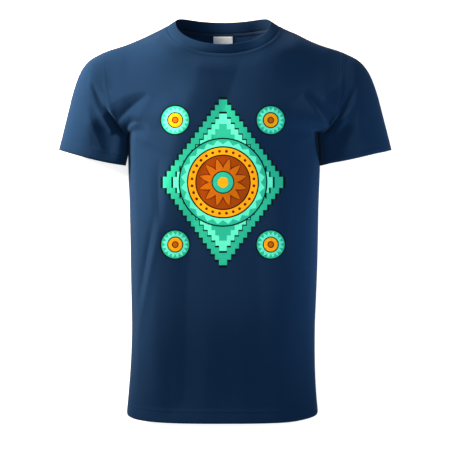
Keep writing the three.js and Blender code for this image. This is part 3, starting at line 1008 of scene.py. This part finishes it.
def allowance(plan, sign, reach, depth, surface):
    """A row of the seam allowance, this far inside the armhole and this deep under a panel. At both ends
    the cloth turns and leaves less room, so it lies less deep, and it leans in at the shoulder."""
    inward = plan[0] - plan[2]
    inward /= np.maximum(1e-6, np.linalg.norm(inward, axis=-1, keepdims=True))
    inward[:, 1] -= ALLOWANCE_LEAN * smooth(plan[0, :, 1], *ALLOWANCE_LEAN_Y)
    edge = plan[0] + inward * reach
    x, y = sign * edge[:, 0], edge[:, 1]
    room = smooth(np.minimum(*edge_distances(np.abs(x), y)), *ALLOWANCE_ROOM)
    return settled(x, y, surface(x, y) + depth * room)


def closed_ring(upper, lower):
    """The upper side and the lower one of a sleeve as one tube, from the cuff to the body."""
    return np.concatenate((upper, lower[:, -2:0:-1]), 1)[::-1]


for node, sign in (("left_sleeve", 1), ("right_sleeve", -1)):
    around = eased(SLEEVE_AROUND)
    down = np.linspace(0, 1, SLEEVE_ROWS + 1)
    inner, outer = at_share(underarm_line, down), at_share(top_fold_line, down)
    plan = patch(at_share(armhole_line, around), at_share(cuff_line, around), inner, outer, around, down)
    x, y = sign * plan[..., 0], plan[..., 1]
    cuff = hem_relief(nearest(cuff_line, np.abs(x), y)[0], CUFF_STITCHES)
    x_laid = leant(x, y) - sign * UNDER_TUCK * under_side(x, y)
    drop = UNDER_DROP * under_side(x, y)
    upper = settled(x_laid, y, front_surface(x, y) + cuff - drop)
    lower = settled(x_laid, y, np.maximum(0, back_surface(x, y) - drop))
    tuck_upper = [allowance(plan, sign, reach, -deep, front_surface) for reach, deep in SEAM_ALLOWANCE]
    tuck_lower = [allowance(plan, sign, reach, deep, back_surface) for reach, deep in SEAM_ALLOWANCE]
    tube = closed_ring(np.concatenate((tuck_upper, upper)), np.concatenate((tuck_lower, lower)))
    in_body = np.full((len(SEAM_ALLOWANCE), SLEEVE_AROUND + 1), FAR_FROM_CUFF)
    from_cuff = np.concatenate((in_body, nearest(cuff_line, *plan.T)[0].T))
    from_cuff = closed_ring(from_cuff, from_cuff)
    normals = grid_normals(tube, closed=True) * sign
    ring = [np.concatenate((values, values[:, :1]), 1) for values in (tube, normals, from_cuff)]
    rows = [row_at(*ring, distance) for distance in CUFF_STITCHES]
    sleeve_stitches = stitches_object(node + "_stitches", rows)
    hemmed = turned_hem(tube, CUFF_HEM, sign, closed=True)
    sleeve = cloth_object(node + "_cloth", hemmed, jersey, flip=sign < 0, closed=True)
    thicken(sleeve)
    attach(sleeve, "root")
    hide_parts(node)

# A narrow cotton twill tape covers the seam at the back of the neck, from near one shoulder seam to the
# other. It is sewn down along both edges.
TAPE_WIDTH = 5
TAPE_INSET = 1.2
TAPE_HALF = 84
TAPE_WALL = 0.8
TAPE_LIFT = 0.9
TAPE_DOME = 0.45
TAPE_ROWS = 12
TAPE_COLUMNS = 161
TAPE_STITCH_ROWS = (2, TAPE_ROWS - 2)
TWILL = 0.0009  # metres from one diagonal rib to the next

tape_share = np.linspace(0, 1, TAPE_ROWS + 1)[:, None]
x = np.linspace(-TAPE_HALF, TAPE_HALF, TAPE_COLUMNS) + 0 * tape_share
y = back_neck_y(x) - TAPE_INSET - TAPE_WIDTH * (1 - tape_share)
dome = TAPE_DOME * (1 - (2 * tape_share - 1) ** 4)
tape_grid = np.stack((x, y, back_surface(x, y) + CLOTH + TAPE_LIFT + dome), -1)
twill, shader, place = new_material("tape_twill", {"Roughness": 0.8, "Specular IOR Level": 0.1})
u, v = across_and_up(place, "UV")
diagonal = ((u + v) / TWILL).triangle()
coloured(shader, blended(diagonal, (0.003, 0.013, 0.038), (0.005, 0.019, 0.055)))
bumped(shader, diagonal, 0.00025)
tape = cloth_object("neck_tape_twill", tape_grid, twill)
thicken(tape, TAPE_WALL)
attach(tape, "root")
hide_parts("neck_tape")
tape_normals = grid_normals(tape_grid)
rows = [(tape_grid[row], tape_normals[row]) for row in TAPE_STITCH_ROWS]
tape_stitches = stitches_object("tape_stitches", rows)

# The collar is a band of one-by-one rib, folded double and sewn to the neckline with its fold outwards. It
# stands up a little round the neck, and its ribs run from the seam to the fold.
COLLAR_EDGE_HALF = 86
COLLAR_EDGE_Y = 361.8
COLLAR_FRONT_DROP = 42.8
COLLAR_BACK_RISE = 9.88
COLLAR_FRONT_HEIGHT = 85
COLLAR_SIDE_HEIGHT = 41
COLLAR_BACK_HEIGHT = 4
COLLAR_WALL = 2.0
COLLAR_SQUARENESS = 0.55
COLLAR_PROFILE = 30
COLLAR_TUCK = 0.18
COLLAR_TUCK_DEPTH = 1.5
COLLAR_TUCK_START = 0.3
COLLAR_TUCK_SHARE = 0.25
RIBS = 250
RIB_DEPTH = 0.16
POINTS_PER_RIB = 4

turn = 2 * np.pi * np.arange(RIBS * POINTS_PER_RIB) / (RIBS * POINTS_PER_RIB)
c, s = np.cos(turn), np.sin(turn)
seam_x = NECK_HALF * c
seam_y = np.where(s < 0, front_neck_y(seam_x), back_neck_y(seam_x))
seam_z = np.where(s < 0, front_height(seam_x, seam_y), back_height(seam_x, seam_y))
seam = np.stack((seam_x, seam_y, seam_z), -1)
back_rise = COLLAR_BACK_RISE * c**2 * np.sqrt(1 - c**8)
fold_y = COLLAR_EDGE_Y + np.where(s < 0, COLLAR_FRONT_DROP * s, back_rise)
fold_z = mix(COLLAR_SIDE_HEIGHT, np.where(s < 0, COLLAR_FRONT_HEIGHT, COLLAR_BACK_HEIGHT), np.abs(s))
fold = np.stack((COLLAR_EDGE_HALF * c, fold_y, fold_z), -1)
band = fold - seam
round_way = np.roll(seam + fold, -1, 0) - np.roll(seam + fold, 1, 0)
outward = np.cross(round_way, band)
outward /= np.linalg.norm(outward, axis=-1, keepdims=True)

# Round the band's section the share runs from the seam to the fold and back. At the front the seam's end
# is tucked under the front's edge.
angle = 2 * np.pi * np.arange(COLLAR_PROFILE)[:, None, None] / COLLAR_PROFILE
share = 0.5 - 0.5 * np.cos(angle)
at_front = np.clip(-s, 0, COLLAR_TUCK_START)[:, None] / COLLAR_TUCK_START
tucked = (at_front * np.clip(1 - share / COLLAR_TUCK_SHARE, 0, 1)) ** 2
level = np.sign(np.sin(angle)) * np.abs(np.sin(angle)) ** COLLAR_SQUARENESS
rib_wave = RIB_DEPTH * np.cos(RIBS * turn)[:, None] * level
depth = COLLAR_WALL / 2 * (level - 1) + rib_wave - COLLAR_TUCK_DEPTH * tucked
collar_grid = seam + band * (share - COLLAR_TUCK * tucked) + outward * depth
collar_grid = np.concatenate((collar_grid, collar_grid[:1]))

rib = knit_material("rib_knit", navy_yarn)
collar = cloth_object("rib_collar_knit", collar_grid, rib, flip=True, closed=True)
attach(collar, "root")
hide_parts("rib_collar")

# A small label of woven satin is folded double, with its fold at the lower end, and sewn in under the tape.
# It is left blank.
LABEL_WIDTH = 35
LABEL_LENGTH = 42
LABEL_WALL = 0.35
LABEL_FOLD = 0.5
LABEL_FOLD_ANGLE = 60
LABEL_FOLD_ROWS = 5
LABEL_ROWS = 22
LABEL_COLUMNS = 37
LABEL_BELOW_TAPE = 0.2
LABEL_LIFT = 0.5
LABEL_CURL = 1.6
WEFT = 0.0006  # metres from one woven row to the next

leaf = np.linspace(0, 1, LABEL_ROWS)
down = np.concatenate((leaf, np.ones(LABEL_FOLD_ROWS), leaf[::-1]))[:, None]
round_fold = np.linspace(-LABEL_FOLD_ANGLE, LABEL_FOLD_ANGLE, LABEL_FOLD_ROWS)
bend = np.radians(np.concatenate((np.full(LABEL_ROWS, -90), round_fold, np.full(LABEL_ROWS, 90))))[:, None]
x = np.linspace(-LABEL_WIDTH / 2, LABEL_WIDTH / 2, LABEL_COLUMNS) + 0 * down
label_top_y = back_neck_y(0.0) - TAPE_INSET - TAPE_WIDTH - LABEL_BELOW_TAPE
y = label_top_y - LABEL_LENGTH * down + 0 * x
lying = back_surface(x, y) + CLOTH + LABEL_LIFT + LABEL_CURL * down**2
label_grid = np.stack((x, y - LABEL_FOLD * np.cos(bend), lying + LABEL_FOLD * (1 + np.sin(bend))), -1)
satin, shader, place = new_material("label_satin", {"Roughness": 0.45})
weft = (across_and_up(place, "UV")[1] / WEFT).triangle()
yarn = noise(place, 900.0) * 0.6 + weft * 0.4
coloured(shader, blended(yarn, (0.30, 0.40, 0.47), (0.37, 0.48, 0.57)))
bumped(shader, weft, 0.0001)
label = cloth_object("neck_label_blank", label_grid, satin)
thicken(label, LABEL_WALL)
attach(label, "root")
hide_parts("neck_label")

# The shirt lies on a plain pale floor, in soft light from all round. A strong low lamp stands at the upper
# left, so that folds and seams cast soft shades to the right, and a weak one at the lower right lights the
# wearer's left side.
FLOOR_HALF = 12.0  # metres
FLOOR_DROP = 0.0005  # metres
STUDIO_LIGHT = 0.76
WHITE = (1, 1, 1, 1)
PALE = {
    "Base Color": (0.9, 0.9, 0.9, 1),
    "Roughness": 0.9,
    "Specular IOR Level": 0.1,
    "Emission Color": WHITE,
    "Emission Strength": 0.59,
}

floor = in_scene("floor", bpy.data.meshes.new("floor"))
corners = FLOOR_HALF * np.array(((-1, -1, 0), (1, -1, 0), (1, 1, 0), (-1, 1, 0)))
floor.data.from_pydata(corners.tolist(), [], [(0, 1, 2, 3)])
floor.location.z = -FLOOR_DROP
floor.data.materials.append(new_material("pale_floor", PALE)[0])

world = bpy.data.worlds.new("studio")
world.use_nodes = True
world.node_tree.nodes["Background"].inputs["Color"].default_value = WHITE
world.node_tree.nodes["Background"].inputs["Strength"].default_value = STUDIO_LIGHT
bpy.context.scene.world = world


def lamp(name, place, aim, size, power, colour, spread):
    """An area light that faces a point, with a grid on it that narrows its beam to an angle."""
    data = bpy.data.lights.new(name, "AREA")
    data.shape = "RECTANGLE"
    data.size, data.size_y = size
    data.energy = power
    data.color = colour
    data.spread = math.radians(spread)
    light = in_scene(name, data)
    light.location = place
    light.rotation_euler = (Vector(aim) - Vector(place)).to_track_quat("-Z", "Y").to_euler()


lamp(
    "key", place=(-1.17, 0.76, 0.33), aim=(-0.1, 0.25, 0.06),
    size=(0.6, 0.18), power=26, colour=(1, 0.68, 0.48), spread=76,
)
lamp(
    "rim", place=(1.2, -0.80, 0.20), aim=(0.25, 0, 0.05),
    size=(0.3, 0.2), power=0.9, colour=(1, 1, 1), spread=30,
)
